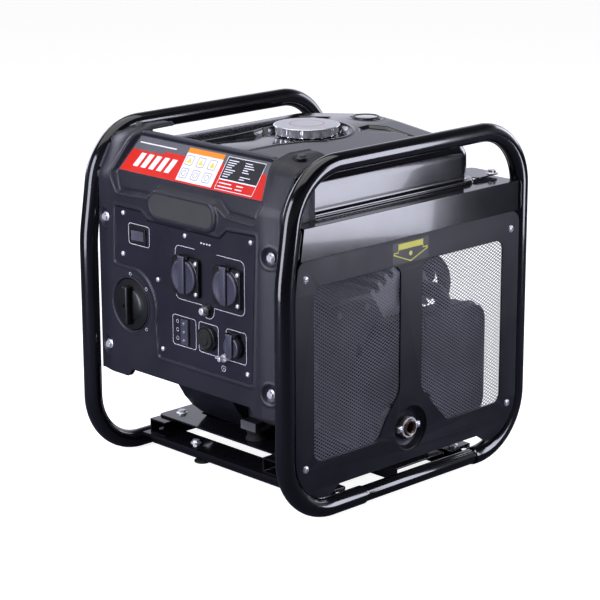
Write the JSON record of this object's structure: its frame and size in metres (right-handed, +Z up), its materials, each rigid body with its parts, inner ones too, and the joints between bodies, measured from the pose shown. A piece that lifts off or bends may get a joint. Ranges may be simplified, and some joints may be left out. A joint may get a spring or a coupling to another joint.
{
  "type": "portable generator",
  "caption": "Open-frame portable inverter generator: bent tube frame, top fuel tank with ribbed cap, control panel with flap-covered outlets, ventilated side panel and recoil-start engine.",
  "frame": {"origin": "on the floor under the middle of the frame, at the bottom centre of the bounding box", "axes": "+Z up; -Y out of the control panel, which is the front; +X to the right of someone facing the front, towards the ventilated side panel"},
  "size_m": [0.392, 0.45, 0.458],
  "materials": {
    "black_gloss": "gloss",
    "black_satin_metal": "satin",
    "black_plastic": "satin",
    "panel_plastic": "satin",
    "gloss_plastic": "gloss",
    "rubber": "matte",
    "aluminium": "cast",
    "zinc_steel": "zinc plated",
    "dark_steel": "heat-resistant black",
    "chrome": "bright",
    "copper": "varnished windings"
  },
  "bodies": {
    "frame": {"frame_loop_left": "black_gloss", "frame_loop_right": "black_gloss", "cross_member_front": "black_gloss", "cross_member_rear": "black_gloss", "bed_tray": "black_gloss", "bed_channel_left": "black_gloss", "bed_channel_right": "black_gloss", "engine_base_plate": "black_gloss", "rubber_foot": "rubber", "tank_rail_left": "black_gloss", "tank_rail_right": "black_gloss", "side_panel_right": "black_satin_metal", "mesh_screen": "dark_steel", "control_panel_housing": "panel_plastic", "control_plate": "panel_plastic", "socket_left_base": "black_plastic", "socket_right_base": "black_plastic", "dc_socket_base": "black_plastic", "charge_port_body": "black_plastic", "rocker_bezel": "black_plastic", "reset_collar": "zinc_steel", "indicator_module": "black_plastic", "ground_stud": "zinc_steel", "inverter_module": "aluminium", "fuel_tank_upper": "black_gloss", "fuel_tank_lower": "black_gloss", "fuel_gauge": "gloss_plastic", "engine_mount_1": "rubber", "engine_mount_2": "rubber", "engine_mount_3": "rubber", "engine_mount_4": "rubber", "crankcase": "aluminium", "crankcase_cover": "aluminium", "cylinder": "aluminium", "cylinder_head": "aluminium", "valve_cover": "black_plastic", "spark_plug_cap": "rubber", "alternator_stator": "copper", "fan_housing": "black_plastic", "recoil_cover": "black_plastic", "muffler": "dark_steel", "exhaust_outlet": "zinc_steel", "heat_shield": "dark_steel", "carburettor": "aluminium", "air_cleaner_box": "black_plastic"},
    "left_lid": {"socket_left_lid": "black_plastic"},
    "right_lid": {"socket_right_lid": "black_plastic"},
    "dc_lid": {"dc_socket_lid": "black_plastic"},
    "port_cap": {"charge_port_cap": "rubber"},
    "rocker": {"rocker_switch": "gloss_plastic"},
    "dial": {"engine_dial": "black_plastic"},
    "reset": {"reset_button": "black_plastic"},
    "nut": {"wing_nut": "zinc_steel"},
    "cap_seal": {"fuel_cap_gasket": "rubber"},
    "cap": {"fuel_cap": "chrome"},
    "dipstick": {"oil_dipstick": "black_plastic"},
    "crank": {"crankshaft": "zinc_steel", "alternator_rotor": "dark_steel"},
    "pulley": {"recoil_pulley": "black_plastic"},
    "handle": {"starter_handle": "black_plastic"}
  },
  "joints": [
    {"name": "left_lid_hinge", "type": "hinge", "parent": "frame", "child": "left_lid", "pos_m": [0.0085, -0.2185, 0.314], "axis": [-1, 0, 0], "range_deg": [0, 100], "stiffness_Nm_per_rad": 0.01, "springref_deg": -28.65},
    {"name": "right_lid_hinge", "type": "hinge", "parent": "frame", "child": "right_lid", "pos_m": [0.085, -0.2185, 0.314], "axis": [-1, 0, 0], "range_deg": [0, 100], "stiffness_Nm_per_rad": 0.01, "springref_deg": -28.65},
    {"name": "dc_lid_hinge", "type": "hinge", "parent": "frame", "child": "dc_lid", "pos_m": [0.0952, -0.2185, 0.2308], "axis": [-1, 0, 0], "range_deg": [0, 100], "stiffness_Nm_per_rad": 0.01, "springref_deg": -28.65},
    {"name": "port_cap_pull", "type": "slide", "parent": "frame", "child": "port_cap", "axis": [0, -1, 0], "range_m": [0, 0.015]},
    {"name": "rocker_pivot", "type": "hinge", "parent": "frame", "child": "rocker", "pos_m": [-0.0856, -0.2088, 0.3237], "axis": [0, 0, -1], "range_deg": [0, 20]},
    {"name": "dial_turn", "type": "hinge", "parent": "frame", "child": "dial", "pos_m": [-0.102, -0.2115, 0.2305], "axis": [0, 1, 0], "range_deg": [0, 135]},
    {"name": "reset_push", "type": "slide", "parent": "frame", "child": "reset", "axis": [0, 1, 0], "range_m": [0, 0.003], "stiffness_N_per_m": 200, "springref_m": -0.002},
    {"name": "nut_turn", "type": "hinge", "parent": "frame", "child": "nut", "pos_m": [0.0774, -0.2108, 0.197], "axis": [0, 1, 0], "continuous": true},
    {"name": "cap_lift", "type": "slide", "parent": "frame", "child": "cap_seal", "axis": [0, 0, 1], "range_m": [0, 0.05]},
    {"name": "cap_turn", "type": "hinge", "parent": "cap_seal", "child": "cap", "pos_m": [0, 0.0045, 0.4415], "axis": [0, 0, 1], "range_deg": [0, 90]},
    {"name": "dipstick_pull", "type": "slide", "parent": "frame", "child": "dipstick", "axis": [0, -0.84, 0.5426], "range_m": [0, 0.05]},
    {"name": "crank_spin", "type": "hinge", "parent": "frame", "child": "crank", "pos_m": [0.04, -0.014, 0.157], "axis": [1, 0, 0], "continuous": true},
    {"name": "starter_pull", "type": "slide", "parent": "frame", "child": "handle", "axis": [0, 1, 0], "range_m": [0, 0.09], "stiffness_N_per_m": 20, "springref_m": -0.1},
    {"name": "pulley_turn", "type": "hinge", "parent": "frame", "child": "pulley", "pos_m": [-0.136, -0.014, 0.157], "axis": [1, 0, 0], "range_deg": [-100, 0]}
  ],
  "couplings": [
    {"joint": "pulley_turn", "follows": "starter_pull", "rad_per_m": -18.182}
  ]
}
